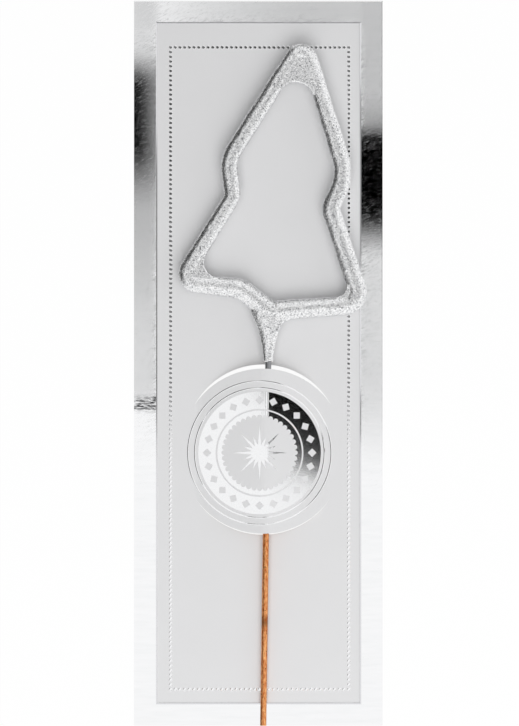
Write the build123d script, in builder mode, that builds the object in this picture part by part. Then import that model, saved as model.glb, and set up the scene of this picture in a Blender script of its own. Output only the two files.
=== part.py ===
from build123d import *
import os
from math import atan2, cos, pi, radians, remainder, sin, tan

# A tree-shaped sparkler held on its carrier card, which lies on its back.
# Millimetres. X runs across the card, Y up the card towards the tip of the tree, Z up from the card's back.
# The origin is the centre of the card's back.

# Card: a board faced with mirror film, and a matte panel that leaves a mirror border
CARD_WIDTH = 60.0
CARD_HEIGHT = 175.0
BOARD_THICKNESS = 0.5
FILM_THICKNESS = 0.05
PANEL_THICKNESS = 0.05
FOIL_THICKNESS = 0.03
BORDER_WIDTH = 5.3

# Bridge: the round tab between two curved slits, which arches over the wire and holds it.
# The slits are die-cut a little off the centre of the stamped seal.
SEAL_X = 0.3
SEAL_Y = -21.6
SLIT_SHIFT_X = 0.8
SLIT_SHIFT_Y = 0.4
SLIT_RADIUS = 19.9
SLIT_HALF_ANGLE = 56.0
CRESCENT_OPENING = 1.0
SLIT_OPENING = 0.3
BRIDGE_FOOT_RUN = 1.2
FOOT_FILLET_SHARE = 0.9
RIDGE_RADIUS = 5.0
TUNNEL_CLEARANCE = 0.2

# Seal: foil stamped on the bridge, each ring set in from the one outside it
RIM_INSET = 2.5
RIM_WIDTH = 0.45
RING_INSET = 1.9
RING_WIDTH = 0.35
BAND_INSET = 0.7
BAND_WIDTH = 4.2
BAND_WINDOW = 1.5
BAND_WINDOW_COUNT = 24
COLLAR_GAP = 0.4
COLLAR_WIDTH = 1.6
SCALLOP_LOBE = 1.2
SCALLOP_COUNT = 40
BURST_INSET = 2.0
BURST_RAY_STEP = 2.4
BURST_HUB_RADIUS = 1.9
BURST_RAY_COUNT = 8

# Core wire: one length, straight for the stem and then bent round the tree's outline
WIRE_DIAMETER = 1.5
NECK_LENGTH = 12.3
STEM_LEAN = 0.79
STEM_OFFSET = 1.8
FOOT_INSET = 0.05
TAIL_GAP = 1.5
SEAT_GAP = 0.2

# Bends of the tree, in the plane of the sparkler, across and up from the top of the stem, with their radii
STEM_BEND_RADIUS = 1.8
RIGHT_CORNER = (22.45, 2.05)
RIGHT_CORNER_RADIUS = 3.4
RIGHT_NOTCH = (14.45, 25.2)
RIGHT_NOTCH_RADIUS = 3.2
RIGHT_BOUGH = (18.1, 32.9)
RIGHT_BOUGH_RADIUS = 12.0
TIP = (7.5, 65.6)
TIP_CREASE_RADIUS = 0.2
LEFT_BOUGH = (-10.35, 36.4)
LEFT_BOUGH_RADIUS = 8.0
LEFT_NOTCH = (-9.15, 27.4)
LEFT_NOTCH_RADIUS = 3.2
LEFT_CORNER = (-21.8, 6.6)
LEFT_CORNER_RADIUS = 2.7
BASE_BEND = (-6.9, 5.5)
BASE_BEND_RADIUS = 5.0
FREE_END = (-2.1, 1.9)

# First coat: an even dip over the wire
FIRST_SKIN = 0.45
FIRST_COAT_SETBACK = 2.0
FIRST_COAT_CAP = 0.6

# Second coat: its thickness over the wire is greatest along the base, and webs are drawn into the corners
BASE_SKIN = 1.75
RIGHT_CORNER_SKIN = 1.55
RIGHT_NOTCH_SKIN = 1.55
RIGHT_SKIN = 1.4
TIP_SKIN = 1.2
LEFT_SKIN = 1.35
LEFT_NOTCH_SKIN = 1.25
LEFT_CORNER_SKIN = 1.35
COAT_OVERRUN = 4.0
TIP_WEB_RADIUS = 4.1
LEFT_WEB_RADIUS = 3.5
RIGHT_WEB_RADIUS = 2.3
STEM_WEB_RADIUS = 3.0
WEB_THICKNESS = 3.0

# Neck of the second coat: it flares from its tail up to the base. Each station gives the share of the neck's
# length, and how much of the flare in width and in depth is reached there.
TAIL_SKIN = 0.5
NECK_SPREAD = 9.2
NECK_STEP = 0.2
NECK_STATIONS = ((0, 0, 0), (0.25, 0.08, 0.14), (0.53, 0.3, 0.52), (0.77, 0.61, 0.9), (1.02, 1, 1))

# Diameters of the coats
first_coat = WIRE_DIAMETER + 2 * FIRST_SKIN
base_coat = WIRE_DIAMETER + 2 * BASE_SKIN
right_corner_coat = WIRE_DIAMETER + 2 * RIGHT_CORNER_SKIN
right_notch_coat = WIRE_DIAMETER + 2 * RIGHT_NOTCH_SKIN
right_coat = WIRE_DIAMETER + 2 * RIGHT_SKIN
tip_coat = WIRE_DIAMETER + 2 * TIP_SKIN
left_coat = WIRE_DIAMETER + 2 * LEFT_SKIN
left_notch_coat = WIRE_DIAMETER + 2 * LEFT_NOTCH_SKIN
left_corner_coat = WIRE_DIAMETER + 2 * LEFT_CORNER_SKIN
tail_coat = WIRE_DIAMETER + 2 * TAIL_SKIN
neck_depth = base_coat - 2 * NECK_STEP
tip_radius = tip_coat / 2 + TIP_CREASE_RADIUS

# Heights above the card's back
film_height = BOARD_THICKNESS
panel_height = film_height + FILM_THICKNESS
front_height = panel_height + PANEL_THICKNESS
foil_height = front_height + FOIL_THICKNESS
foot_height = front_height + SEAT_GAP + WIRE_DIAMETER / 2
base_height = front_height + SEAT_GAP + base_coat / 2

# Lie of the stem: its foot is level with the card's lower edge, and the coat's tail stops short of the bridge
lean = radians(STEM_LEAN)
slit_x = SEAL_X + SLIT_SHIFT_X
slit_y = SEAL_Y + SLIT_SHIFT_Y
tail_y = slit_y + SLIT_RADIUS + TAIL_GAP
tail_x = SEAL_X + STEM_OFFSET + (tail_y - SEAL_Y) * tan(lean)
foot_to_tail = (tail_y + CARD_HEIGHT / 2 - FOOT_INSET) / cos(lean)
pitch = atan2(base_height - foot_height, foot_to_tail + NECK_LENGTH)
bare_wire = foot_to_tail / cos(pitch)
stem_length = bare_wire + NECK_LENGTH
tail_height = foot_height + bare_wire * sin(pitch)
stem_direction = Vector(sin(lean) * cos(pitch), cos(lean) * cos(pitch), sin(pitch))
stem_across = Vector(cos(lean), -sin(lean), 0)
stem_foot = Vector(tail_x, tail_y, tail_height) - stem_direction * bare_wire
stem_plane = Plane(stem_foot, x_dir=stem_across, z_dir=stem_across.cross(stem_direction))

# The bridge spans between the slits' ends, with its ridge over the wire
bridge_half_width = SLIT_RADIUS * sin(radians(SLIT_HALF_ANGLE))
slit_end_height = SLIT_RADIUS * cos(radians(SLIT_HALF_ANGLE))
bridge_left = slit_x - bridge_half_width
bridge_right = slit_x + bridge_half_width
ridge_x = SEAL_X + STEM_OFFSET
ridge_height = tail_height + WIRE_DIAMETER / 2 + TUNNEL_CLEARANCE

# Radii of the seal's foils, from the outside in
rim_radius = SLIT_RADIUS - RIM_INSET
ring_radius = rim_radius - RING_INSET
band_radius = ring_radius - BAND_INSET
band_inner = band_radius - BAND_WIDTH
collar_radius = band_inner - COLLAR_GAP
scallop_radius = collar_radius - COLLAR_WIDTH
long_ray = scallop_radius - BURST_INSET
short_ray = long_ray - BURST_RAY_STEP


def slit_outline(top_opening, bottom_opening):
    """Plan outline of the bridge, grown past its two curved edges by the slits' openings."""
    left, right = bridge_left, bridge_right
    top, bottom = slit_y + slit_end_height, slit_y - slit_end_height
    crown = slit_y + SLIT_RADIUS + top_opening
    sole = slit_y - SLIT_RADIUS - bottom_opening
    with BuildSketch() as outline:
        with BuildLine():
            ThreePointArc((left, top), (slit_x, crown), (right, top))
            Line((right, top), (right, bottom))
            ThreePointArc((right, bottom), (slit_x, sole), (left, bottom))
            Line((left, bottom), (left, top))
        make_face()
    return outline.sketch


def bridge_line(height):
    """Line of the bridge seen along the card, a given height off its rear: flat feet, slopes, round ridge."""
    left_foot = bridge_left + BRIDGE_FOOT_RUN
    right_foot = bridge_right - BRIDGE_FOOT_RUN
    left_slope = atan2(ridge_height, ridge_x - left_foot)
    right_slope = atan2(ridge_height, right_foot - ridge_x)
    foot_radius = FOOT_FILLET_SHARE * BRIDGE_FOOT_RUN / tan(max(left_slope, right_slope) / 2)
    left_rise, right_rise = tan(left_slope), tan(right_slope)
    start = left_foot - height * tan(left_slope / 2)
    stop = right_foot + height * tan(right_slope / 2)
    peak = (start * left_rise + stop * right_rise) / (left_rise + right_rise)
    return FilletPolyline(
        (bridge_left, height),
        (start, height),
        (peak, height + (peak - start) * left_rise),
        (stop, height),
        (bridge_right, height),
        radius=(foot_radius - height, RIDGE_RADIUS + height, foot_radius - height),
    )


def card_layer(low, high, outline):
    """One layer of the card between two heights: a slit sheet with its bridge, cut to a plan outline."""
    clear_height = ridge_height + 2 * high
    with BuildPart() as layer:
        with BuildSketch(Plane.XZ):
            with BuildLine():
                bridge_line(low)
                bridge_line(high)
                Line((bridge_left, low), (bridge_left, high))
                Line((bridge_right, low), (bridge_right, high))
            make_face()
        extrude(amount=CARD_HEIGHT, both=True)
        with BuildSketch():
            add(slit_outline(0, 0))
        extrude(amount=clear_height, mode=Mode.INTERSECT)
        with BuildSketch(Plane.XY.offset(low)):
            Rectangle(CARD_WIDTH, CARD_HEIGHT)
            add(slit_outline(CRESCENT_OPENING, SLIT_OPENING), mode=Mode.SUBTRACT)
        extrude(amount=high - low)
        with BuildSketch():
            add(outline)
        extrude(amount=clear_height, mode=Mode.INTERSECT)
    return layer.part


def tree_point(point):
    """A point of the tree, given across and up from the top of the stem, in the sparkler's plane."""
    return (point[0], stem_length + point[1])


def between(start, end, distance):
    """The point a given distance from one point towards another."""
    heading = atan2(end[1] - start[1], end[0] - start[0])
    return (start[0] + distance * cos(heading), start[1] + distance * sin(heading))


def bent_path(points, radii):
    """A path in the sparkler's plane through straight runs and round bends."""
    with BuildLine(stem_plane) as path:
        FilletPolyline(*points, radius=radii)
    return path.wire()


def swept_rod(path, diameter):
    """A round rod along a path."""
    with BuildPart() as rod:
        with BuildSketch(Plane(path @ 0, z_dir=path % 0)):
            Circle(diameter / 2)
        sweep(path=path)
    return rod.part


def tapered_coat(path, diameters):
    """A round coat along a path, from its diameters at the path's start, at each bend and at its end."""
    with BuildPart() as coat:
        for index, edge in enumerate(path.order_edges()):
            first, second = diameters[(index + 1) // 2], diameters[index // 2 + 1]
            with BuildSketch(Plane(edge @ 0, z_dir=edge % 0)):
                Circle(first / 2)
            if first == second:
                sweep(path=edge)
            else:
                with BuildSketch(Plane(edge @ 1, z_dir=edge % 1)):
                    Circle(second / 2)
                loft(ruled=True)
    return coat.part


def corner_web(corner, bend_radius, first, second, coat, web_radius):
    """A web that rounds off the inside of a sharp corner between two coated runs."""
    first_heading = atan2(first[1] - corner[1], first[0] - corner[0])
    second_heading = atan2(second[1] - corner[1], second[0] - corner[0])
    half_angle = remainder(second_heading - first_heading, 2 * pi) / 2
    heading = first_heading + half_angle
    slant = sin(abs(half_angle))
    reach = web_radius + coat / 2
    run = reach / tan(abs(half_angle))
    root = bend_radius / slant - bend_radius
    eye = (corner[0] + reach / slant * cos(heading), corner[1] + reach / slant * sin(heading))
    with BuildPart() as web:
        with BuildSketch(stem_plane):
            with BuildLine():
                Polyline(
                    (corner[0] + root * cos(heading), corner[1] + root * sin(heading)),
                    between(corner, first, run),
                    eye,
                    between(corner, second, run),
                    close=True,
                )
            make_face()
            with Locations(eye):
                Circle(web_radius, mode=Mode.SUBTRACT)
        extrude(amount=WEB_THICKNESS / 2, both=True)
    return web.part


os.makedirs("parts", exist_ok=True)

# Card layers, from the back to the front
with BuildSketch() as card_outline:
    Rectangle(CARD_WIDTH, CARD_HEIGHT)
with BuildSketch() as panel_outline:
    Rectangle(CARD_WIDTH - 2 * BORDER_WIDTH, CARD_HEIGHT - 2 * BORDER_WIDTH)

with BuildPart() as card_board:
    add(card_layer(0, film_height, card_outline.sketch))
card_board.part.label = "card_board"
export_step(card_board.part, "parts/card_board.step")

with BuildPart() as mirror_film:
    add(card_layer(film_height, panel_height, card_outline.sketch))
mirror_film.part.label = "mirror_film"
export_step(mirror_film.part, "parts/mirror_film.step")

with BuildPart() as matte_panel:
    add(card_layer(panel_height, front_height, panel_outline.sketch))
matte_panel.part.label = "matte_panel"
export_step(matte_panel.part, "parts/matte_panel.step")

# Outlines of the seal's foils
with BuildSketch() as rings_outline:
    with Locations((SEAL_X, SEAL_Y)):
        Circle(rim_radius)
        Circle(rim_radius - RIM_WIDTH, mode=Mode.SUBTRACT)
        Circle(ring_radius)
        Circle(ring_radius - RING_WIDTH, mode=Mode.SUBTRACT)
with BuildSketch() as band_outline:
    with Locations((SEAL_X, SEAL_Y)):
        Circle(band_radius)
        Circle(band_inner, mode=Mode.SUBTRACT)
        with PolarLocations((band_radius + band_inner) / 2, BAND_WINDOW_COUNT):
            Rectangle(BAND_WINDOW, BAND_WINDOW, rotation=45, mode=Mode.SUBTRACT)
with BuildSketch() as collar_outline:
    with Locations((SEAL_X, SEAL_Y)):
        Circle(collar_radius)
        Circle(scallop_radius, mode=Mode.SUBTRACT)
        with PolarLocations(scallop_radius, SCALLOP_COUNT):
            Circle(SCALLOP_LOBE / 2, mode=Mode.SUBTRACT)
burst_points = []
for ray in range(2 * BURST_RAY_COUNT):
    ray_length = long_ray if ray % 2 == 0 else short_ray
    for radius, step in ((ray_length, 0), (BURST_HUB_RADIUS, 0.5)):
        angle = pi * (ray + step) / BURST_RAY_COUNT
        burst_points.append((SEAL_X + radius * sin(angle), SEAL_Y + radius * cos(angle)))
with BuildSketch() as burst_outline:
    with BuildLine():
        Polyline(*burst_points, close=True)
    make_face()

# Seal foils
with BuildPart() as seal_rings:
    add(card_layer(front_height, foil_height, rings_outline.sketch))
seal_rings.part.label = "seal_rings"
export_step(seal_rings.part, "parts/seal_rings.step")

with BuildPart() as seal_band:
    add(card_layer(front_height, foil_height, band_outline.sketch))
seal_band.part.label = "seal_band"
export_step(seal_band.part, "parts/seal_band.step")

with BuildPart() as seal_collar:
    add(card_layer(front_height, foil_height, collar_outline.sketch))
seal_collar.part.label = "seal_collar"
export_step(seal_collar.part, "parts/seal_collar.step")

with BuildPart() as seal_burst:
    add(card_layer(front_height, foil_height, burst_outline.sketch))
seal_burst.part.label = "seal_burst"
export_step(seal_burst.part, "parts/seal_burst.step")

# Paths of the wire and of its coats
stem_top = (0, stem_length)
right_corner = tree_point(RIGHT_CORNER)
right_notch = tree_point(RIGHT_NOTCH)
right_bough = tree_point(RIGHT_BOUGH)
tip = tree_point(TIP)
left_bough = tree_point(LEFT_BOUGH)
left_notch = tree_point(LEFT_NOTCH)
left_corner = tree_point(LEFT_CORNER)
base_bend = tree_point(BASE_BEND)
free_end = tree_point(FREE_END)
tree_bends = (right_corner, right_notch, right_bough, tip, left_bough, left_notch, left_corner, base_bend)
right_radii = (RIGHT_CORNER_RADIUS, RIGHT_NOTCH_RADIUS, RIGHT_BOUGH_RADIUS, tip_radius)
left_radii = (LEFT_BOUGH_RADIUS, LEFT_NOTCH_RADIUS, LEFT_CORNER_RADIUS, BASE_BEND_RADIUS)
tree_radii = (*right_radii, *left_radii)
wire_radii = (STEM_BEND_RADIUS, *tree_radii)
first_start = (0, bare_wire + FIRST_COAT_SETBACK)
first_end = between(free_end, base_bend, -FIRST_COAT_CAP)
coat_start = between(stem_top, right_corner, STEM_BEND_RADIUS)
coat_end = between(free_end, base_bend, -COAT_OVERRUN)
wire_path = bent_path(((0, 0), stem_top, *tree_bends, free_end), wire_radii)
first_path = bent_path((first_start, stem_top, *tree_bends, first_end), wire_radii)
coat_path = bent_path((coat_start, *tree_bends, coat_end), tree_radii)
right_coats = (base_coat, right_corner_coat, right_notch_coat, right_coat, tip_coat)
left_coats = (left_coat, left_notch_coat, left_corner_coat, base_coat, base_coat)

# Sparkler, from the inside out
with BuildPart() as core_wire:
    add(swept_rod(wire_path, WIRE_DIAMETER))
core_wire.part.label = "core_wire"
export_step(core_wire.part, "parts/core_wire.step")

with BuildPart() as first_dip_coat:
    add(swept_rod(first_path, first_coat))
    add(core_wire.part, mode=Mode.SUBTRACT)
first_dip_coat.part.label = "first_dip_coat"
export_step(first_dip_coat.part, "parts/first_dip_coat.step")

with BuildPart() as neck:
    for share, width_share, depth_share in NECK_STATIONS:
        centre = stem_foot + stem_direction * (bare_wire + share * NECK_LENGTH)
        width = tail_coat + width_share * (NECK_SPREAD - tail_coat)
        depth = tail_coat + depth_share * (neck_depth - tail_coat)
        with BuildSketch(Plane(centre, x_dir=stem_across, z_dir=stem_direction)):
            Ellipse(width / 2, depth / 2)
    loft()

webs = (
    (tip, tip_radius, right_bough, left_bough, tip_coat, TIP_WEB_RADIUS),
    (left_corner, LEFT_CORNER_RADIUS, left_notch, base_bend, left_corner_coat, LEFT_WEB_RADIUS),
    (right_corner, RIGHT_CORNER_RADIUS, stem_top, right_notch, right_corner_coat, RIGHT_WEB_RADIUS),
    (stem_top, STEM_BEND_RADIUS, right_corner, (0, 0), base_coat, STEM_WEB_RADIUS),
)
with BuildPart() as second_dip_coat:
    add(tapered_coat(coat_path, (*right_coats, *left_coats)))
    add(neck.part)
    for web in webs:
        add(corner_web(*web))
    add(first_dip_coat.part, mode=Mode.SUBTRACT)
    add(core_wire.part, mode=Mode.SUBTRACT)
second_dip_coat.part.label = "second_dip_coat"
export_step(second_dip_coat.part, "parts/second_dip_coat.step")
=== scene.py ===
"""Looks of a tree-shaped sparkler on its carrier card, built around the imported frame.

Lengths in the fields are millimetres, and are turned to metres where a mesh or a node takes them. The card
lies on its back: X runs across it, Y up it towards the tip of the tree, and Z out of its front.
"""

import logging
import math
from dataclasses import dataclass
from enum import Enum
from typing import Iterator, Mapping, Optional, Union

import bmesh
import bpy
from mathutils import Matrix, Vector, noise
from mathutils.bvhtree import BVHTree


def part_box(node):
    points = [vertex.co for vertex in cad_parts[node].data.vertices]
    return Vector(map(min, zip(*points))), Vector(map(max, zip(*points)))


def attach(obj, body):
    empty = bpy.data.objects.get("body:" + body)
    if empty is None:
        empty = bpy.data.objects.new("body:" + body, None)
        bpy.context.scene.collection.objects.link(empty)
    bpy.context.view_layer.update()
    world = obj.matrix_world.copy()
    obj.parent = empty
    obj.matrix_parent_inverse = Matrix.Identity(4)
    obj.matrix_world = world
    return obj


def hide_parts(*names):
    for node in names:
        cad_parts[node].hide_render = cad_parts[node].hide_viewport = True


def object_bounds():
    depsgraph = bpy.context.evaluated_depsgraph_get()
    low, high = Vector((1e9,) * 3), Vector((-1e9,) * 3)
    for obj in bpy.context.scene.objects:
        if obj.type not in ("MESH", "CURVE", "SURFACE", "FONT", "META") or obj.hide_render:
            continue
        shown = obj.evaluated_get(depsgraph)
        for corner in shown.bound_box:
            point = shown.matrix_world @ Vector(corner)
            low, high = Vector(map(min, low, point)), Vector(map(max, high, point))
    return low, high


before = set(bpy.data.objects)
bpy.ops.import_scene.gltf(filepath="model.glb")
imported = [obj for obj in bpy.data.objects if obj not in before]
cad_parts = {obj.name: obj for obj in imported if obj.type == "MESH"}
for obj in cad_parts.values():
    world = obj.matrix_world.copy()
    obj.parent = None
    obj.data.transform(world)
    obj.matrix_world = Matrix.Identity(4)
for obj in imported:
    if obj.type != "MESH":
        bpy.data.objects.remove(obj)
CAD_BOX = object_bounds()

LOG = logging.getLogger("carded_sparkler")
MM = 0.001
UP = Vector((0.0, 0.0, 1.0))

# Edges that turn by more than this many degrees stay crisp
SHARP_ANGLE = 18.0
# Points nearer than this many millimetres are merged
SAME_POINT = 0.001
# Half the side of a grid of side 1
HALF = 0.5
# What a noise texture gives on average
NOISE_MEAN = 0.5

# Sockets of the Mix node when it mixes colours
MIX_FACTOR, MIX_FIRST, MIX_SECOND, MIX_RESULT = 0, 6, 7, 2

Colour = tuple[float, float, float, float]
Socket = bpy.types.NodeSocket


class Body(Enum):
    """The bodies of the frame that pieces ride on."""

    CARD = "card"
    SPARKLER = "sparkler"


class Slot(Enum):
    """The material slots of the record."""

    MIRROR_FILM = "mirror_film"
    SEAL_FOIL = "seal_foil"
    OUTER_COAT = "outer_coat"


def linear(code: str) -> Colour:
    """Turns an sRGB hex colour to a linear one.

    Args:
        code: colour as "#RRGGBB".

    Returns:
        Linear red, green and blue, with full alpha.
    """
    shares = [int(code[at:at + 2], 16) / 255 for at in (1, 3, 5)]
    red, green, blue = [s / 12.92 if s <= 0.04045 else ((s + 0.055) / 1.055) ** 2.4 for s in shares]
    return (red, green, blue, 1.0)


WHITE = linear("#FFFFFF")
BLACK = linear("#000000")


def cells(size: float) -> float:
    """Scale of a pattern on Object coordinates whose features have a given size in millimetres."""
    return 1.0 / (size * MM)


@dataclass
class Graph:
    """The node tree of a material, or of the world, while it is being made."""

    tree: bpy.types.NodeTree
    material: Optional[bpy.types.Material] = None
    shader: Optional[bpy.types.Node] = None
    place: Optional[Socket] = None

    @classmethod
    def start(cls, name: str, shader: str = "BsdfPrincipled") -> "Graph":
        """Starts a material with one shader on its output.

        Args:
            name: name of the material.
            shader: kind of the shader node.

        Returns:
            The graph, with Object coordinates at hand as its place.
        """
        material = bpy.data.materials.new(name)
        material.use_nodes = True
        material.node_tree.nodes.clear()
        graph = cls(material.node_tree, material)
        graph.shader = graph.add(shader)
        graph.place = graph.add("TexCoord").outputs["Object"]
        graph.add("OutputMaterial", {"Surface": graph.shader})
        return graph

    def add(
        self, kind: str, inputs: Optional[Mapping[Union[str, int], object]] = None, **settings: object
    ) -> bpy.types.Node:
        """Adds a node with its settings, and sets or links its inputs.

        Args:
            kind: Blender's name of the node, without "ShaderNode".
            inputs: what each input takes, as for feed.
            settings: properties of the node.

        Returns:
            The new node.
        """
        node = self.tree.nodes.new("ShaderNode" + kind)
        for name, value in settings.items():
            setattr(node, name, value)
        self.feed(node, inputs or {})
        return node

    def feed(self, node: bpy.types.Node, inputs: Mapping[Union[str, int], object]) -> None:
        """Sets or links inputs of a node.

        Args:
            node: the node.
            inputs: for an input's name or number, its value, the output that it is linked to, or the node
                whose first output it is linked to.
        """
        for name, value in inputs.items():
            if isinstance(value, bpy.types.Node):
                value = value.outputs[0]
            if isinstance(value, Socket):
                self.tree.links.new(value, node.inputs[name])
            else:
                node.inputs[name].default_value = value


@dataclass(frozen=True)
class BleachedBoard:
    """Solid bleached board, uncoated: a warm white with a felt of short fibres."""

    name: str = "bleached_board_uncoated"
    pale: str = "#F3F1EB"
    deep: str = "#E2DFD6"
    # Fibres are about 0.03 mm wide, too fine to show, so they are drawn coarser
    fibre: float = 0.5
    fibre_slenderness: float = 5.0
    fibre_turn: float = 25.0
    fibre_height: float = 0.012
    roughness: float = 0.88

    def material(self) -> bpy.types.Material:
        """Makes the material.

        Returns:
            The material.
        """
        graph = Graph.start(self.name)
        stretch = graph.add(
            "Mapping",
            {
                "Vector": graph.place,
                "Rotation": (0.0, 0.0, math.radians(self.fibre_turn)),
                "Scale": (self.fibre_slenderness, 1.0, 1.0),
            },
            vector_type="TEXTURE",
        )
        fibres = graph.add("TexNoise", {"Vector": stretch, "Scale": cells(self.fibre), "Detail": 3.0})
        tint = graph.add(
            "Mix",
            {MIX_FACTOR: fibres, MIX_FIRST: linear(self.deep), MIX_SECOND: linear(self.pale)},
            data_type="RGBA",
        )
        felt = graph.add("Bump", {"Height": fibres, "Distance": self.fibre_height * MM})
        graph.feed(
            graph.shader,
            {"Base Color": tint.outputs[MIX_RESULT], "Roughness": self.roughness, "Normal": felt},
        )
        return graph.material


@dataclass(frozen=True)
class MirrorFilm:
    """Metallised polyester film on board: a mirror that the board's fibres and waves show through faintly.

    It is a little duller where fibres stand out, and rolls over the card's die-cut edges. A short crumple
    crosses the left border, with painted shade darkening the metal along its creases.
    """

    name: str = "metallised_polyester_film"
    pale: str = "#FAFAFB"
    deep: str = "#F1F2F3"
    # Fibres are about 0.03 mm wide, too fine to show, so they are drawn about a pixel wide
    fibre: float = 0.22
    fibre_slenderness: float = 5.0
    fibre_turn: float = 26.0
    fibre_height: float = 0.0009
    fibre_from: float = 0.46
    fibre_to: float = 0.7
    wave: float = 1.1
    wave_slenderness: float = 7.0
    wave_height: float = 0.0004
    warp: float = 16.0
    warp_height: float = 0.012
    smooth: float = 0.03
    dull: float = 0.1
    edge_x: float = 30.0
    edge_y: float = 87.5
    edge_roll: float = 0.25
    edge_drop: float = 0.006
    crumple_x: float = -24.4
    crumple_y: float = -9.9
    crumple_core: float = 0.3
    crumple_reach: float = 2.8
    crumple: float = 0.45
    crumple_slenderness: float = 3.0
    crumple_height: float = 0.03
    # Painted shade along the crumple's creases, and where on the crease pattern it sets in and is full
    crease_shade: str = "#3E3F42"
    crease_shade_from: float = 0.4
    crease_shade_to: float = 0.62

    def material(self) -> bpy.types.Material:
        """Makes the material.

        Returns:
            The material.
        """
        graph = Graph.start(self.name)
        slant = graph.add(
            "Mapping",
            {
                "Vector": graph.place,
                "Rotation": (0.0, 0.0, math.radians(self.fibre_turn)),
                "Scale": (self.fibre_slenderness, 1.0, 1.0),
            },
            vector_type="TEXTURE",
        )
        fibres = graph.add("TexNoise", {"Vector": slant, "Scale": cells(self.fibre), "Detail": 2.0})
        across = graph.add(
            "Mapping",
            {"Vector": graph.place, "Scale": (self.wave_slenderness, 1.0, 1.0)},
            vector_type="TEXTURE",
        )
        waves = graph.add("TexNoise", {"Vector": across, "Scale": cells(self.wave), "Detail": 2.0})
        warps = graph.add("TexNoise", {"Vector": graph.place, "Scale": cells(self.warp), "Detail": 0.0})
        lie = graph.add("Bump", {"Height": warps, "Distance": self.warp_height * MM})
        rippled = graph.add("Bump", {"Height": waves, "Distance": self.wave_height * MM, "Normal": lie})
        grained = graph.add(
            "Bump", {"Height": fibres, "Distance": self.fibre_height * MM, "Normal": rippled}
        )
        crumpled, crease_shade_share = self.crumpled(graph, grained.outputs[0])
        rolled = self.rolled_normal(graph, crumpled)
        whole = graph.add(
            "Mix",
            {MIX_FACTOR: waves, MIX_FIRST: linear(self.deep), MIX_SECOND: linear(self.pale)},
            data_type="RGBA",
        )
        # Painted shade darkens the film along the crumple's creases
        tint = graph.add(
            "Mix",
            {MIX_FACTOR: crease_shade_share, MIX_FIRST: whole.outputs[MIX_RESULT], MIX_SECOND: linear(self.crease_shade)},
            data_type="RGBA",
        )
        polish = graph.add(
            "MapRange",
            {
                "Value": fibres,
                "From Min": self.fibre_from,
                "From Max": self.fibre_to,
                "To Min": self.smooth,
                "To Max": self.dull,
            },
        )
        graph.feed(
            graph.shader,
            {"Base Color": tint.outputs[MIX_RESULT], "Metallic": 1.0, "Roughness": polish, "Normal": rolled},
        )
        return graph.material

    def crumpled(self, graph: Graph, normal: Socket) -> tuple[Socket, Socket]:
        """Adds the short crumple across the left border, where the card was once flexed.

        Args:
            graph: graph of the material.
            normal: normal that the crumple is laid on.

        Returns:
            The crumpled normal, and the share of painted shade along the creases.
        """
        place = graph.add("SeparateXYZ", {0: graph.place})
        rise = graph.add("Math", {0: place.outputs["Y"], 1: self.crumple_y * MM}, operation="SUBTRACT")
        reach = graph.add("Math", {0: rise}, operation="ABSOLUTE")
        near = graph.add(
            "MapRange",
            {
                "Value": reach,
                "From Min": self.crumple_core * MM,
                "From Max": self.crumple_reach * MM,
                "To Min": 1.0,
                "To Max": 0.0,
            },
            interpolation_type="SMOOTHERSTEP",
        )
        left = graph.add("Math", {0: place.outputs["X"], 1: self.crumple_x * MM}, operation="LESS_THAN")
        both = graph.add("Math", {0: near, 1: left}, operation="MULTIPLY")
        across = graph.add(
            "Mapping",
            {"Vector": graph.place, "Scale": (self.crumple_slenderness, 1.0, 1.0)},
            vector_type="TEXTURE",
        )
        creases = graph.add("TexNoise", {"Vector": across, "Scale": cells(self.crumple), "Detail": 2.0})
        height = graph.add("Math", {0: creases, 1: both}, operation="MULTIPLY")
        bump = graph.add(
            "Bump", {"Height": height, "Distance": self.crumple_height * MM, "Normal": normal}
        )
        # Painted shade along the creases, within the crumple's band
        crease_shade_mask = graph.add(
            "MapRange", {"Value": creases, "From Min": self.crease_shade_from, "From Max": self.crease_shade_to}
        )
        crease_shade_share = graph.add("Math", {0: crease_shade_mask, 1: both}, operation="MULTIPLY")
        return bump.outputs[0], crease_shade_share.outputs[0]

    def rolled_normal(self, graph: Graph, normal: Socket) -> Socket:
        """Adds the roll of the film over the card's die-cut edge.

        Args:
            graph: graph of the material.
            normal: normal that the roll is laid on.

        Returns:
            The rolled normal.
        """
        place = graph.add("SeparateXYZ", {0: graph.place})
        drops = []
        for axis, edge in (("X", self.edge_x), ("Y", self.edge_y)):
            reach = graph.add("Math", {0: place.outputs[axis]}, operation="ABSOLUTE")
            drop = graph.add(
                "MapRange",
                {
                    "Value": reach,
                    "From Min": (edge - self.edge_roll) * MM,
                    "From Max": edge * MM,
                    "To Min": 1.0,
                    "To Max": 0.0,
                },
                interpolation_type="SMOOTHSTEP",
            )
            drops.append(drop)
        height = graph.add("Math", {0: drops[0], 1: drops[1]}, operation="MINIMUM")
        bump = graph.add("Bump", {"Height": height, "Distance": self.edge_drop * MM, "Normal": normal})
        return bump.outputs[0]


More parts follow.
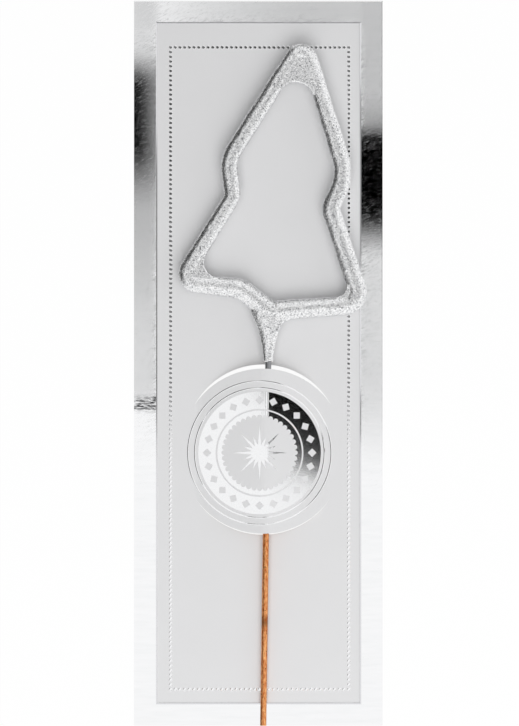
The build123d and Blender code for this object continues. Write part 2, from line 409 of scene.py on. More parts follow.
@dataclass(frozen=True)
class MatteVarnish:
    """Matte print varnish over film: an even pale grey with a fine tooth that scatters the light."""

    name: str = "matte_print_varnish"
    pale: str = "#E2E2E3"
    deep: str = "#DDDDDE"
    cloud: float = 9.0
    # The matting grains are about 0.01 mm, too fine to show, so the tooth is drawn about a pixel wide
    tooth: float = 0.22
    tooth_height: float = 0.004
    satin: float = 0.48
    dull: float = 0.62

    def material(self) -> bpy.types.Material:
        """Makes the material.

        Returns:
            The material.
        """
        graph = Graph.start(self.name)
        clouds = graph.add("TexNoise", {"Vector": graph.place, "Scale": cells(self.cloud), "Detail": 2.0})
        teeth = graph.add("TexNoise", {"Vector": graph.place, "Scale": cells(self.tooth), "Detail": 2.0})
        mottle = graph.add("Math", {0: clouds, 1: teeth}, operation="MULTIPLY")
        tint = graph.add(
            "Mix",
            {MIX_FACTOR: mottle, MIX_FIRST: linear(self.deep), MIX_SECOND: linear(self.pale)},
            data_type="RGBA",
        )
        polish = graph.add("MapRange", {"Value": teeth, "To Min": self.satin, "To Max": self.dull})
        bump = graph.add("Bump", {"Height": teeth, "Distance": self.tooth_height * MM})
        graph.feed(
            graph.shader, {"Base Color": tint.outputs[MIX_RESULT], "Roughness": polish, "Normal": bump}
        )
        return graph.material


@dataclass(frozen=True)
class StampedFoil:
    """Hot-stamped foil: bright metal with a fine pressed grain."""

    name: str = "hot_stamped_foil"
    pale: str = "#F8F8F9"
    deep: str = "#ECEDEE"
    # The die's grain is under 0.1 mm, too fine to show, so it is drawn coarser
    grain: float = 0.3
    grain_height: float = 0.0016
    smooth: float = 0.04
    dull: float = 0.1

    def material(self) -> bpy.types.Material:
        """Makes the material.

        Returns:
            The material.
        """
        graph = Graph.start(self.name)
        grains = graph.add("TexNoise", {"Vector": graph.place, "Scale": cells(self.grain), "Detail": 3.0})
        tint = graph.add(
            "Mix",
            {MIX_FACTOR: grains, MIX_FIRST: linear(self.deep), MIX_SECOND: linear(self.pale)},
            data_type="RGBA",
        )
        polish = graph.add("MapRange", {"Value": grains, "To Min": self.smooth, "To Max": self.dull})
        bump = graph.add("Bump", {"Height": grains, "Distance": self.grain_height * MM})
        graph.feed(
            graph.shader,
            {"Base Color": tint.outputs[MIX_RESULT], "Metallic": 1.0, "Roughness": polish, "Normal": bump},
        )
        return graph.material


@dataclass(frozen=True)
class CopperWash:
    """Copper-washed steel wire, drawn: warm metal with lengthwise flecks and dark pits.

    It has one broad stain low on the stem, and is grey towards the coat.
    """

    name: str = "copper_washed_drawn_wire"
    deep: str = "#BC541C"
    bright: str = "#FFC080"
    stain: str = "#5A3018"
    wire_grey: str = "#98999C"
    # Drawing marks are about 0.02 mm wide, too fine to show, so they are drawn about a pixel wide
    fleck: float = 0.3
    fleck_slenderness: float = 4.0
    fleck_height: float = 0.02
    fleck_low: float = 0.3
    fleck_high: float = 0.7
    pit: float = 0.45
    pit_from: float = 0.66
    pit_to: float = 0.74
    stain_y: float = -62.4
    stain_reach: float = 2.4
    stain_share: float = 0.6
    wire_grey_from: float = -6.0
    wire_grey_to: float = -3.0
    smooth: float = 0.3
    dull: float = 0.46

    def material(self) -> bpy.types.Material:
        """Makes the material.

        Returns:
            The material.
        """
        graph = Graph.start(self.name)
        along = graph.add(
            "Mapping",
            {"Vector": graph.place, "Scale": (1.0, self.fleck_slenderness, 1.0)},
            vector_type="TEXTURE",
        )
        flecks = graph.add("TexNoise", {"Vector": along, "Scale": cells(self.fleck), "Detail": 3.0})
        spread = graph.add(
            "MapRange", {"Value": flecks, "From Min": self.fleck_low, "From Max": self.fleck_high}
        )
        drawn = graph.add(
            "Mix",
            {MIX_FACTOR: spread, MIX_FIRST: linear(self.deep), MIX_SECOND: linear(self.bright)},
            data_type="RGBA",
        )
        place = graph.add("SeparateXYZ", {0: graph.place})
        dark = self.darkened_share(graph, place.outputs["Y"], flecks.outputs[0])
        copper = graph.add(
            "Mix",
            {MIX_FACTOR: dark, MIX_FIRST: drawn.outputs[MIX_RESULT], MIX_SECOND: linear(self.stain)},
            data_type="RGBA",
        )
        # Grey towards the coat, fading in up the stem
        grey_share = graph.add(
            "MapRange",
            {
                "Value": place.outputs["Y"],
                "From Min": self.wire_grey_from * MM,
                "From Max": self.wire_grey_to * MM,
            },
        )
        tint = graph.add(
            "Mix",
            {
                MIX_FACTOR: grey_share,
                MIX_FIRST: copper.outputs[MIX_RESULT],
                MIX_SECOND: linear(self.wire_grey),
            },
            data_type="RGBA",
        )
        polish = graph.add("MapRange", {"Value": flecks, "To Min": self.smooth, "To Max": self.dull})
        bump = graph.add("Bump", {"Height": flecks, "Distance": self.fleck_height * MM})
        graph.feed(
            graph.shader,
            {"Base Color": tint.outputs[MIX_RESULT], "Metallic": 1.0, "Roughness": polish, "Normal": bump},
        )
        return graph.material

    def darkened_share(self, graph: Graph, along: Socket, flecks: Socket) -> Socket:
        """Adds the scattered pits and the one broad stain of the wire.

        Args:
            graph: graph of the material.
            along: place along the wire.
            flecks: fleck pattern, which breaks up the stain.

        Returns:
            Share of the stain's colour.
        """
        pits = graph.add("TexNoise", {"Vector": graph.place, "Scale": cells(self.pit), "Detail": 1.0})
        pitted = graph.add(
            "MapRange", {"Value": pits, "From Min": self.pit_from, "From Max": self.pit_to}
        )
        reach = graph.add("Math", {0: along, 1: self.stain_y * MM}, operation="SUBTRACT")
        away = graph.add("Math", {0: reach}, operation="ABSOLUTE")
        near = graph.add(
            "MapRange",
            {
                "Value": away,
                "From Min": 0.0,
                "From Max": self.stain_reach * MM,
                "To Min": self.stain_share / NOISE_MEAN,
                "To Max": 0.0,
            },
            interpolation_type="SMOOTHSTEP",
        )
        broken = graph.add("Math", {0: near, 1: flecks}, operation="MULTIPLY")
        both = graph.add("Math", {0: pitted, 1: broken}, operation="MAXIMUM", use_clamp=True)
        return both.outputs[0]


@dataclass(frozen=True)
class SparkleCompound:
    """Dried sparkler compound: a crust of metal grains in binder, each catching the light in its own way.

    A few of the grains are dark specks. The lean draws its normals towards the card's front, so that the
    grains mirror more of what is over the card than of what stands round it.
    """

    name: str = "metal_grain_sparkler_compound"
    deep: str = "#D2D3D5"
    pale: str = "#FFFFFF"
    speck: str = "#8A8B8E"
    speck_share: float = 0.07
    # Grains of 0.05 to 0.2 mm are mostly too fine to show, so grains and grit are drawn at their coarsest
    grain: float = 0.22
    grain_height: float = 0.04
    grit: float = 0.14
    grit_height: float = 0.015
    metallic: float = 0.93
    smooth: float = 0.12
    dull: float = 0.28
    lean: float = 0.45

    def material(self) -> bpy.types.Material:
        """Makes the material.

        Returns:
            The material.
        """
        graph = Graph.start(self.name)
        grains = graph.add("TexVoronoi", {"Vector": graph.place, "Scale": cells(self.grain)}, feature="F1")
        chance = graph.add("SeparateColor", {0: grains.outputs["Color"]})
        grits = graph.add("TexNoise", {"Vector": graph.place, "Scale": cells(self.grit), "Detail": 2.0})
        tint = graph.add(
            "Mix",
            {MIX_FACTOR: chance, MIX_FIRST: linear(self.deep), MIX_SECOND: linear(self.pale)},
            data_type="RGBA",
        )
        specks = graph.add("Math", {0: chance.outputs[2], 1: self.speck_share}, operation="LESS_THAN")
        specked = graph.add(
            "Mix",
            {MIX_FACTOR: specks, MIX_FIRST: tint.outputs[MIX_RESULT], MIX_SECOND: linear(self.speck)},
            data_type="RGBA",
        )
        polish = graph.add(
            "MapRange", {"Value": chance.outputs[1], "To Min": self.smooth, "To Max": self.dull}
        )
        fine = graph.add("Bump", {"Height": grits, "Distance": self.grit_height * MM})
        bump = graph.add(
            "Bump",
            {"Height": grains.outputs["Distance"], "Distance": self.grain_height * MM, "Normal": fine},
            invert=True,
        )
        leaned = graph.add("VectorMath", {0: bump, 1: (0.0, 0.0, self.lean)}, operation="ADD")
        settled = graph.add("VectorMath", {0: leaned}, operation="NORMALIZE")
        graph.feed(
            graph.shader,
            {
                "Base Color": specked.outputs[MIX_RESULT],
                "Metallic": self.metallic,
                "Roughness": polish,
                "Normal": settled,
            },
        )
        return graph.material


def card_front() -> float:
    """Height of the card's flat front, on which the seal's foil lies, in metres."""
    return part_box("seal_rings")[0].z


def surface_of(node: str) -> BVHTree:
    """Search tree of a CAD node's faces."""
    return BVHTree.FromObject(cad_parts[node], bpy.context.evaluated_depsgraph_get())


def finish_piece(
    shape: bmesh.types.BMesh, name: str, material: bpy.types.Material, body: Body, slot: Slot
) -> bpy.types.Object:
    """Turns a bmesh into a piece of the object, with its place in its mesh.

    Args:
        shape: the bmesh, which is freed.
        name: name of the piece.
        material: its material.
        body: body of the frame that it rides on.
        slot: material slot of the record; not used.

    Returns:
        The piece.
    """
    mesh = bpy.data.meshes.new(name)
    shape.to_mesh(mesh)
    shape.free()
    mesh.shade_smooth()
    mesh.set_sharp_from_angle(angle=math.radians(SHARP_ANGLE))
    mesh.materials.append(material)
    piece = bpy.data.objects.new(name, mesh)
    bpy.context.scene.collection.objects.link(piece)
    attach(piece, body.value)
    return piece


def dress(node: str, material: bpy.types.Material) -> bpy.types.Object:
    """Gives a CAD node that stays in view its material.

    Args:
        node: name of the node.
        material: the material.

    Returns:
        The node's object.
    """
    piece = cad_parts[node]
    piece.data.materials.clear()
    piece.data.materials.append(material)
    return piece


@dataclass
class Card:
    """The carrier card: board, mirror film, matte panel with its bead border, and the stamped seal."""

    # The bead border's size, middle and spacing, and one bead's foot, crest, floor and rise
    bead_width: float = 43.0
    bead_height: float = 155.0
    bead_centre: tuple[float, float] = (0.37, -1.27)
    bead_pitch: float = 1.137
    bead_radius: float = 0.445
    bead_crest: float = 0.34
    bead_floor: float = 0.3
    bead_rise: float = 0.045
    bead_sides: int = 12
    # How far the relief reaches into the card, and how fine the grain of its metal is
    sink: float = 0.01
    pressed_grain: float = 0.0006
    # The lip's foot outside the panel, and its slope's run, rise and crest
    lip_reach: float = 0.17
    lip_run: float = 0.3
    lip_rise: float = 0.29
    lip_crest: float = 0.02
    # The radii of the seal's two lines, and one line's profile
    seal_centre: tuple[float, float] = (0.3, -21.6)
    seal_lines: tuple[float, ...] = (17.3, 15.65)
    line_width: float = 0.3
    line_rise: float = 0.11
    line_corners: int = 4
    line_steps: int = 180

    def build(self) -> list[bpy.types.Object]:
        """Builds and dresses the card.

        Returns:
            Its pieces.
        """
        foil = StampedFoil().material()
        # The film pressed up into beads: as bright as the foil, with a finer grain
        beads = StampedFoil("pressed_film_relief", grain_height=self.pressed_grain)
        # The film pressed up into the lip: painted shade makes it greyer, as a narrow slope looks
        lip = StampedFoil(
            "pressed_lip_painted_shade", pale="#E6E6E8", deep="#DCDCDF", grain_height=self.pressed_grain
        )
        pieces = [
            dress("card_board", BleachedBoard().material()),
            dress("mirror_film", MirrorFilm().material()),
            dress("matte_panel", MatteVarnish().material()),
        ]
        pieces += [dress(node, foil) for node in ("seal_band", "seal_collar", "seal_burst")]
        pieces.append(self.bead_border(beads.material()))
        pieces.append(self.panel_lip(lip.material()))
        rims = self.seal_rims(foil)
        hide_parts("seal_rings")
        return pieces + [rims]

    def bead_places(self) -> Iterator[Vector]:
        """Gives the places of the beads, once round the border.

        Returns:
            Points on the card's flat front, in metres.
        """
        across = round(self.bead_width / self.bead_pitch)
        up = round(self.bead_height / self.bead_pitch)
        left = self.bead_centre[0] - self.bead_width / 2
        low = self.bead_centre[1] - self.bead_height / 2
        rim = [(step / across, end) for step in range(across + 1) for end in (0.0, 1.0)]
        rim += [(end, step / up) for step in range(1, up) for end in (0.0, 1.0)]
        for share_across, share_up in rim:
            x = left + share_across * self.bead_width
            y = low + share_up * self.bead_height
            yield Vector((x * MM, y * MM, card_front()))

    def bead_border(self, foil: bpy.types.Material) -> bpy.types.Object:
        """Makes the border of small pressed beads round the panel, each a dimple in a raised rim.

        Args:
            foil: material of the beads.

        Returns:
            The piece.
        """
        shape = bmesh.new()
        depth = (self.bead_rise + self.sink) * MM
        for place in self.bead_places():
            centre = place + UP * (depth / 2 - self.sink * MM)
            bmesh.ops.create_cone(
                shape,
                cap_ends=True,
                segments=self.bead_sides,
                radius1=self.bead_radius * MM,
                radius2=self.bead_crest * MM,
                depth=depth,
                matrix=Matrix.Translation(centre),
            )
        shape.normal_update()
        tops = [face for face in shape.faces if len(face.verts) == self.bead_sides and face.normal.z > 0.0]
        bmesh.ops.inset_individual(
            shape,
            faces=tops,
            thickness=(self.bead_crest - self.bead_floor) * MM,
            depth=-(self.bead_rise - self.sink) * MM,
        )
        return finish_piece(shape, "bead_border", foil, Body.CARD, Slot.MIRROR_FILM)

    def panel_lip(self, foil: bpy.types.Material) -> bpy.types.Object:
        """Makes the fine pressed lip at the matte panel's edge, a slope that faces away from the panel.

        It rises from the panel's left edge, and on the other three sides from the lip's reach outside it.

        Args:
            foil: material of the lip.

        Returns:
            The piece.
        """
        low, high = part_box("matte_panel")
        shape = bmesh.new()
        bmesh.ops.create_grid(shape, x_segments=1, y_segments=1, size=HALF)
        run, crest, rise = self.lip_run * MM, self.lip_crest * MM, self.lip_rise * MM
        reach = self.lip_reach * MM
        stretch = Matrix.Diagonal((high.x - low.x + reach, high.y - low.y + 2.0 * reach, 1.0, 1.0))
        bmesh.ops.transform(shape, matrix=stretch, verts=shape.verts)
        place = Vector(((high.x + low.x + reach) / 2, (high.y + low.y) / 2, low.z - self.sink * MM))
        bmesh.ops.translate(shape, vec=place, verts=shape.verts)
        middle = shape.faces[:]
        for thickness, depth in ((run, rise), (crest, 0.0), (crest, -rise)):
            bmesh.ops.inset_region(
                shape,
                faces=middle,
                thickness=thickness,
                depth=depth,
                use_even_offset=True,
                use_boundary=True,
            )
        bmesh.ops.delete(shape, geom=middle, context="FACES")
        bmesh.ops.bridge_loops(shape, edges=[edge for edge in shape.edges if edge.is_boundary])
        bmesh.ops.recalc_face_normals(shape, faces=shape.faces[:])
        return finish_piece(shape, "panel_lip", foil, Body.CARD, Slot.MIRROR_FILM)

    def seal_rims(self, foil: bpy.types.Material) -> bpy.types.Object:
        """Makes the seal's two embossed foil lines, which follow the rise of the bridge.

        Args:
            foil: material of the lines.

        Returns:
            The piece.
        """
        shape = bmesh.new()
        centre = Vector((self.seal_centre[0] * MM, self.seal_centre[1] * MM, 0.0))
        upright = Matrix.Rotation(math.radians(90.0), 4, "X")
        flatten = Matrix.Diagonal((1.0, 1.0, self.line_rise / (self.line_width / 2), 1.0))
        for radius in self.seal_lines:
            ridge = bmesh.ops.create_circle(
                shape, segments=self.line_corners, radius=self.line_width * MM / 2
            )
            verts = ridge["verts"]
            out = Matrix.Translation(centre + Vector((radius * MM, 0.0, 0.0)))
            bmesh.ops.transform(shape, matrix=out @ flatten @ upright, verts=verts)
            edges = list({edge for vert in verts for edge in vert.link_edges})
            bmesh.ops.spin(
                shape,
                geom=verts + edges,
                cent=centre,
                axis=UP,
                angle=math.tau,
                steps=self.line_steps,
                use_merge=True,
            )
        bmesh.ops.remove_doubles(shape, verts=shape.verts[:], dist=SAME_POINT * MM)
        bmesh.ops.recalc_face_normals(shape, faces=shape.faces[:])
        panel = surface_of("matte_panel")
        for vert in shape.verts:
            above = Vector((vert.co.x, vert.co.y, CAD_BOX[1].z))
            hit = panel.ray_cast(above, -UP)[0]
            vert.co.z += hit.z
        return finish_piece(shape, "seal_rims", foil, Body.CARD, Slot.SEAL_FOIL)


@dataclass
class Sparkler:
    """The sparkler: its wire, the first dip and the crusted second dip."""

    voxel: float = 0.21
    bore_gap: float = 0.05
    smooth_passes: int = 14
    # The crust's relief, from broad lumps to grains, each with its size and height
    lump: float = 4.5
    lump_height: float = 0.12
    crust: float = 1.1
    crust_height: float = 0.05
    grain: float = 0.36
    grain_height: float = 0.05
    # How far from its tail the coat's rim is ragged, and by how much
    tail_run: float = 1.6
    tail_ragged: float = 0.7

    def build(self) -> list[bpy.types.Object]:
        """Builds and dresses the sparkler.

        Returns:
            Its pieces.
        """
        # The first dip: a darker crust, which the second dip covers
        inner = SparkleCompound("first_dip_sparkler_compound", deep="#55565A", pale="#9A9B9E")
        pieces = [
            dress("core_wire", CopperWash().material()),
            dress("first_dip_coat", inner.material()),
        ]
        coat = self.crusted_coat(SparkleCompound().material())
        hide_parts("second_dip_coat")
        return pieces + [coat]

    def outer_skin(self) -> bmesh.types.BMesh:
        """Copies the second dip's CAD shape without its bore, as one closed skin.

        Returns:
            The skin.
        """
        skin = bmesh.new()
        skin.from_mesh(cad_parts["second_dip_coat"].data)
        bmesh.ops.remove_doubles(skin, verts=skin.verts[:], dist=SAME_POINT * MM)
        inner = [surface_of("first_dip_coat"), surface_of("core_wire")]
        bore = [
            face
            for face in skin.faces
            if any(tree.find_nearest(face.calc_center_median(), self.bore_gap * MM)[0] for tree in inner)
        ]
        bmesh.ops.delete(skin, geom=bore, context="FACES")
        rim = [edge for edge in skin.edges if edge.is_boundary]
        bmesh.ops.holes_fill(skin, edges=rim, sides=0)
        bmesh.ops.recalc_face_normals(skin, faces=skin.faces[:])
        return skin

    def crusted_coat(self, compound: bpy.types.Material) -> bpy.types.Object:
        """Makes the second dip: an even grid on the CAD skin, drawn smooth at its corners and then crusted.

        Args:
            compound: material of the coat.

        Returns:
            The piece.
        """
        coat = finish_piece(self.outer_skin(), "crusted_coat", compound, Body.SPARKLER, Slot.OUTER_COAT)
        grid = coat.modifiers.new("even_grid", "REMESH")
        grid.mode = "VOXEL"
        grid.voxel_size = self.voxel * MM
        draw = coat.modifiers.new("drawn_smooth", "SMOOTH")
        draw.iterations = self.smooth_passes
        evaluated = coat.evaluated_get(bpy.context.evaluated_depsgraph_get())
        mesh = bpy.data.meshes.new_from_object(evaluated)
        mesh.name = coat.name
        coat.modifiers.clear()
        coat.data = mesh
        self.crust_over(mesh)
        mesh.shade_smooth()
        mesh.materials.clear()
        mesh.materials.append(compound)
        return coat

    def crust_over(self, mesh: bpy.types.Mesh) -> None:
        """Moves the coat's points to lumps, crust and grains, with a ragged rim at its tail.

        Args:
            mesh: mesh of the coat.
        """
        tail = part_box("second_dip_coat")[0].y
        layers = (
            (self.lump, self.lump_height),
            (self.crust, self.crust_height),
            (self.grain, self.grain_height),
        )
        moved = []
        for vert in mesh.vertices:
            offset = Vector()
            for size, height in layers:
                offset += vert.normal * noise.noise(vert.co / (size * MM)) * height * MM
            near_tail = max(0.0, 1.0 - (vert.co.y - tail) / (self.tail_run * MM))
            ragged = abs(noise.noise(Vector((vert.co.x, 0.0, vert.co.z)) / (self.crust * MM)))
            offset.y += near_tail * ragged * self.tail_ragged * MM
            moved.append(vert.co + offset)
        for vert, place in zip(mesh.vertices, moved):
            vert.co = place
        mesh.update()


@dataclass(frozen=True)
class Flag:
    """A dark board that only mirror-like surfaces see, placed as the flat film shows it.

    The fades are the widths over which it thins out at its left, right, lower and upper edge, and the slant
    is how far its lower edge falls from left to right.
    """

    name: str
    low: tuple[float, float]
    high: tuple[float, float]
    fades: tuple[float, float, float, float]
    density: float
    slant: float = 0.0


@dataclass(frozen=True)
class Screen:
    """A curved dark screen that only mirror-like surfaces see, round one side of the card.

    It stands between two bearings, in degrees counted from +X towards +Y, from its sill up to its height,
    and thins out over the fade of each end, in degrees, and over the top fade.
    """

    name: str
    bearings: tuple[float, float]
    distance: float
    sill: float
    height: float
    end_fades: tuple[float, float]
    top_fade: float
    density: float


@dataclass
class Studio:
    """White floor, soft lamps, dark flags and screens, and the camera over the card."""

    # The picture's height in pixels, a pixel's size on the card, and the point under the camera
    photo_height: int = 726
    pixel: float = 0.2414
    aim: tuple[float, float] = (0.29, 0.05)
    camera_rise: float = 2400.0
    sensor: float = 36.0
    floor_size: float = 40000.0
    floor_drop: float = 0.03
    floor_colour: str = "#F6F6F6"
    floor_glow: float = 0.96
    # Levels are the share of a colour as written that the sky or a lamp gives on the middle of the card
    sky_level: float = 0.36
    top_lamp_place: tuple[float, float, float] = (60.0, -210.0, 760.0)
    top_lamp_size: float = 850.0
    top_lamp_level: float = 0.53
    foot_lamp_place: tuple[float, float, float] = (20.0, -320.0, 360.0)
    foot_lamp_size: float = 405.0
    foot_lamp_level: float = 0.2
    foot_glint_level: float = 0.065
    side_lamp_place: tuple[float, float, float] = (620.0, 120.0, 275.0)
    side_lamp_size: float = 480.0
    side_lamp_level: float = 0.03
    side_glint_level: float = 0.055
    # The lowest flag's height, the step from flag to flag, and the cells along a side of a board
    flag_rise: float = 300.0
    flag_step: float = 2.0
    flag_cells: int = 48

    def build(self) -> None:
        """Builds the studio."""
        self.camera()
        self.floor()
        self.world()
        top = self.lamp("top_lamp", self.top_lamp_place, self.top_lamp_size, self.top_lamp_level)
        foot = self.lamp("foot_lamp", self.foot_lamp_place, self.foot_lamp_size, self.foot_lamp_level)
        side = self.lamp("side_lamp", self.side_lamp_place, self.side_lamp_size, self.side_lamp_level)
        # A lamp adds to the white that a mirror sees, so only two weak glints show in the metal
        for hidden in (top, foot, side):
            hidden.visible_glossy = False
        self.lamp("foot_glint", self.foot_lamp_place, self.foot_lamp_size, self.foot_glint_level)
        self.lamp("side_glint", self.side_lamp_place, self.side_lamp_size, self.side_glint_level)
        for order, flag in enumerate(self.flags()):
            self.hang(flag, self.flag_rise + order * self.flag_step)
        for screen in self.screens():
            self.stand(screen)

    def camera(self) -> None:
        """Places the camera straight over the card, with a lens long enough to keep its edges parallel."""
        data = bpy.data.cameras.new("pack_camera")
        data.sensor_width = self.sensor
        # The sensor spans the picture's longer side, which is its height
        data.lens = self.sensor * self.camera_rise / (self.photo_height * self.pixel)
        data.dof.use_dof = False
        camera = bpy.data.objects.new("pack_camera", data)
        camera.location = (self.aim[0] * MM, self.aim[1] * MM, card_front() + self.camera_rise * MM)
        bpy.context.scene.collection.objects.link(camera)
        bpy.context.scene.camera = camera

    @staticmethod
    def background_share(graph: Graph) -> Socket:
        """Adds the test for rays that show the background: seen directly, mirrored or through glass.

        Args:
            graph: graph that takes the test.

        Returns:
            1 for such a ray, else 0.
        """
        path = graph.add("LightPath")
        seen = graph.add(
            "Math",
            {0: path.outputs["Is Camera Ray"], 1: path.outputs["Is Glossy Ray"]},
            operation="MAXIMUM",
        )
        shown = graph.add("Math", {0: seen, 1: path.outputs["Is Transmission Ray"]}, operation="MAXIMUM")
        return shown.outputs[0]

    def floor(self) -> None:
        """Lays the white floor, which keeps a share of the object's shadow."""
        graph = Graph.start("white_sweep", "MixShader")
        seen = self.background_share(graph)
        share = graph.add("Math", {0: seen, 1: self.floor_glow}, operation="MULTIPLY")
        paper = graph.add("BsdfDiffuse", {"Color": linear(self.floor_colour)})
        glow = graph.add("Emission", {"Color": WHITE, "Strength": 1.0})
        graph.feed(graph.shader, {0: share, 1: paper, 2: glow})
        shape = bmesh.new()
        bmesh.ops.create_grid(shape, x_segments=1, y_segments=1, size=self.floor_size * MM / 2)
        bmesh.ops.translate(shape, vec=-UP * self.floor_drop * MM, verts=shape.verts)
        self.stage_piece(shape, "floor", graph.material)

    @staticmethod
    def stage_piece(
        shape: bmesh.types.BMesh, name: str, material: bpy.types.Material
    ) -> bpy.types.Object:
        """Turns a bmesh into a piece of the stage.

        Args:
            shape: the bmesh, which is freed.
            name: name of the piece.
            material: its material.

        Returns:
            The piece.
        """
        mesh = bpy.data.meshes.new(name)
        shape.to_mesh(mesh)
        shape.free()
        mesh.materials.append(material)
        piece = bpy.data.objects.new(name, mesh)
        bpy.context.scene.collection.objects.link(piece)
        return piece

    def world(self) -> None:
        """Sets a pale even sky, which shows as white where it is seen or mirrored."""
        world = bpy.data.worlds.new("pale_studio")
        world.use_nodes = True
        world.node_tree.nodes.clear()
        graph = Graph(world.node_tree)
        share = self.background_share(graph)
        level = graph.add("MapRange", {"Value": share, "To Min": self.sky_level, "To Max": 1.0})
        sky = graph.add("Background", {"Color": WHITE, "Strength": level})
        graph.add("OutputWorld", {"Surface": sky})
        bpy.context.scene.world = world

    @staticmethod
    def lamp(name: str, place: tuple[float, float, float], size: float, level: float) -> bpy.types.Object:
        """Hangs a soft square lamp that points at the card.

        Args:
            name: name of the lamp.
            place: its place.
            size: its side.
            level: its level on the middle of the card.

        Returns:
            The lamp.
        """
        where = Vector(place) * MM
        slant = where.normalized().z
        data = bpy.data.lights.new(name, "AREA")
        data.shape = "SQUARE"
        data.size = size * MM
        # A lamp that faces the card gives it energy * slant / (pi * distance squared), and a matte surface
        # shows its colour times 1 / pi of what it gets
        data.energy = level * math.pi ** 2 * where.length_squared / slant
        lamp = bpy.data.objects.new(name, data)
        lamp.location = where
        lamp.rotation_mode = "QUATERNION"
        lamp.rotation_quaternion = where.to_track_quat("Z", "Y")
        bpy.context.scene.collection.objects.link(lamp)
        return lamp

    def flags(self) -> Iterator[Flag]:
        """Gives the dark boards whose reflection the mirror film, the beads and the seal show.

        Returns:
            The flags.
        """
        yield Flag("left_flag", (-60.0, 35.4), (-18.5, 76.6), (1.0, 11.0, 17.0, 9.0), 1.0)
        yield Flag("left_shade", (-60.0, -9.8), (-24.4, 95.0), (1.0, 0.1, 0.8, 1.0), 0.25)
        yield Flag("left_haze", (-60.0, 0.0), (-24.4, 60.0), (1.0, 0.1, 40.0, 20.0), 0.32)
        yield Flag("right_flag", (0.0, 25.0), (80.0, 58.2), (24.4, 1.0, 11.0, 3.2), 1.0)
        yield Flag("right_veil", (24.4, 56.0), (60.0, 66.0), (0.1, 1.0, 0.1, 9.0), 0.28)
        yield Flag("right_haze", (24.4, 56.0), (60.0, 95.0), (0.1, 1.0, 0.1, 1.0), 0.23)
        yield Flag("right_shade", (24.4, -30.0), (60.0, 95.0), (0.1, 1.0, 28.0, 1.0), 0.25)
        yield Flag("top_shade", (-46.0, 81.0), (25.6, 95.0), (60.0, 0.1, 0.1, 1.0), 0.38)
        yield Flag("left_bead_flag", (-23.6, -22.0), (-14.0, 80.7), (0.1, 3.0, 18.0, 0.1), 1.0)
        yield Flag("right_bead_flag", (15.0, -22.0), (24.0, 80.7), (3.0, 0.1, 18.0, 0.1), 1.0)
        yield Flag("top_bead_flag", (-17.0, 68.0), (18.0, 80.7), (2.0, 2.0, 3.0, 0.1), 1.0)
        yield Flag("left_edge_flag", (-150.0, -9.8), (-58.0, 95.0), (1.0, 2.0, 1.0, 1.0), 0.3)
        yield Flag("ridge_flag", (50.0, -21.5), (177.0, 40.0), (1.0, 0.1, 3.0, 20.0), 1.0)
        yield Flag("seal_flag", (170.0, -21.2), (240.0, 40.0), (0.1, 10.0, 3.0, 20.0), 1.0, 28.0)
        yield Flag("right_ceiling", (31.0, 6.0), (200.0, 150.0), (1.0, 60.0, 12.0, 40.0), 0.16)
        yield Flag("top_ceiling", (-31.0, 89.0), (31.0, 170.0), (1.0, 1.0, 1.0, 40.0), 0.1)

    def screens(self) -> Iterator[Screen]:
        """Gives the dark screens whose reflection the sides of the coat, the beads and the seal show.

        Returns:
            The screens.
        """
        yield Screen("left_screen", (100.0, 222.0), 320.0, 18.0, 460.0, (25.0, 28.0), 100.0, 0.96)
        yield Screen("top_screen", (40.0, 112.0), 325.0, 50.0, 130.0, (15.0, 10.0), 12.0, 0.9)
        yield Screen("low_left_screen", (168.5, 185.0), 330.0, 0.0, 30.0, (2.5, 3.5), 8.0, 0.8)
        yield Screen("low_top_screen", (60.0, 125.0), 335.0, 0.0, 34.0, (10.0, 10.0), 8.0, 0.8)
        yield Screen("low_right_screen", (3.5, 14.0), 330.0, 0.0, 30.0, (2.0, 2.0), 8.0, 0.6)
        yield Screen("low_foot_screen", (-4.0, -1.2), 330.0, 0.0, 30.0, (0.8, 0.6), 8.0, 0.6)

    def board_grid(self) -> bmesh.types.BMesh:
        """Starts a flag or a screen as an even grid of side 1, with a layer for how densely it covers.

        Returns:
            The grid.
        """
        shape = bmesh.new()
        shape.verts.layers.float.new("cover")
        bmesh.ops.create_grid(shape, x_segments=self.flag_cells, y_segments=self.flag_cells, size=HALF)
        return shape

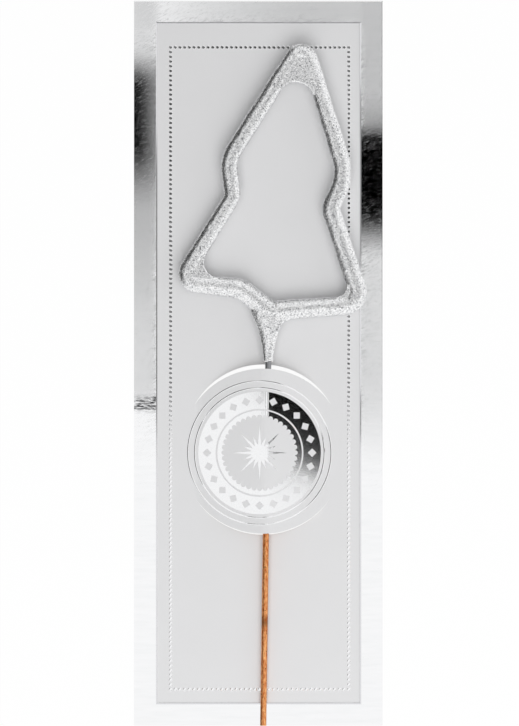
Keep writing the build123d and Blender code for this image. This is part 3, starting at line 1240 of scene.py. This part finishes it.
    def hang(self, flag: Flag, rise: float) -> None:
        """Hangs a flag over the card, out of sight of the camera, the lamps and the shadows.

        Args:
            flag: the flag.
            rise: its height.
        """
        grow = rise / self.camera_rise
        shape = self.board_grid()
        layer = shape.verts.layers.float["cover"]
        left, right, lower, upper = flag.fades
        for vert in shape.verts:
            across = vert.co.x + HALF
            x = flag.low[0] + across * (flag.high[0] - flag.low[0])
            sill = flag.low[1] - across * flag.slant
            y = sill + (vert.co.y + HALF) * (flag.high[1] - sill)
            reaches = (
                (x - flag.low[0]) / left,
                (flag.high[0] - x) / right,
                (y - sill) / lower,
                (flag.high[1] - y) / upper,
            )
            vert[layer] = flag.density * self.thinned(reaches)
            seen = Vector((x, y))
            place = seen + (seen - Vector(self.aim)) * grow
            vert.co = Vector((place.x, place.y, rise)) * MM
        self.felt_piece(shape, flag.name)

    def stand(self, screen: Screen) -> None:
        """Stands a screen beside the card, out of sight of the camera, the lamps and the shadows.

        Args:
            screen: the screen.
        """
        shape = self.board_grid()
        layer = shape.verts.layers.float["cover"]
        first, last = screen.bearings
        for vert in shape.verts:
            bearing = first + (vert.co.x + HALF) * (last - first)
            rise = screen.sill + (vert.co.y + HALF) * (screen.height - screen.sill)
            reaches = (
                (bearing - first) / screen.end_fades[0],
                (last - bearing) / screen.end_fades[1],
                (screen.height - rise) / screen.top_fade,
            )
            vert[layer] = screen.density * self.thinned(reaches)
            turn = math.radians(bearing)
            x, y = math.cos(turn) * screen.distance, math.sin(turn) * screen.distance
            vert.co = Vector((x, y, rise)) * MM
        self.felt_piece(shape, screen.name)

    @staticmethod
    def thinned(reaches: tuple[float, ...]) -> float:
        """Share of a board's density at a point, from how many fades it lies inside each edge."""
        shares = [min(1.0, reach) for reach in reaches]
        return math.prod(share * share * (3.0 - 2.0 * share) for share in shares)

    def felt_piece(self, shape: bmesh.types.BMesh, name: str) -> None:
        """Turns a bmesh into a dark board, as dense as its cover layer, that only mirror-like surfaces see.

        Args:
            shape: the bmesh, which is freed.
            name: name of the board.
        """
        graph = Graph.start(name + "_felt", "MixShader")
        cover = graph.add("Attribute", attribute_name="cover")
        clear = graph.add("BsdfTransparent")
        felt = graph.add("Emission", {"Color": BLACK, "Strength": 0.0})
        graph.feed(graph.shader, {0: cover.outputs["Fac"], 1: clear, 2: felt})
        board = self.stage_piece(shape, name, graph.material)
        board.visible_camera = False
        board.visible_diffuse = False
        board.visible_shadow = False


def main() -> None:
    """Builds the studio, the card and the sparkler, and reports each piece."""
    logging.basicConfig(level=logging.INFO, format="%(name)s: %(message)s")
    bpy.context.scene.view_settings.view_transform = "Standard"
    Studio().build()
    for assembly in (Card(), Sparkler()):
        for piece in assembly.build():
            LOG.info("%s: %d faces of %s", piece.name, len(piece.data.polygons), piece.active_material.name)


if __name__ == "__main__":
    main()
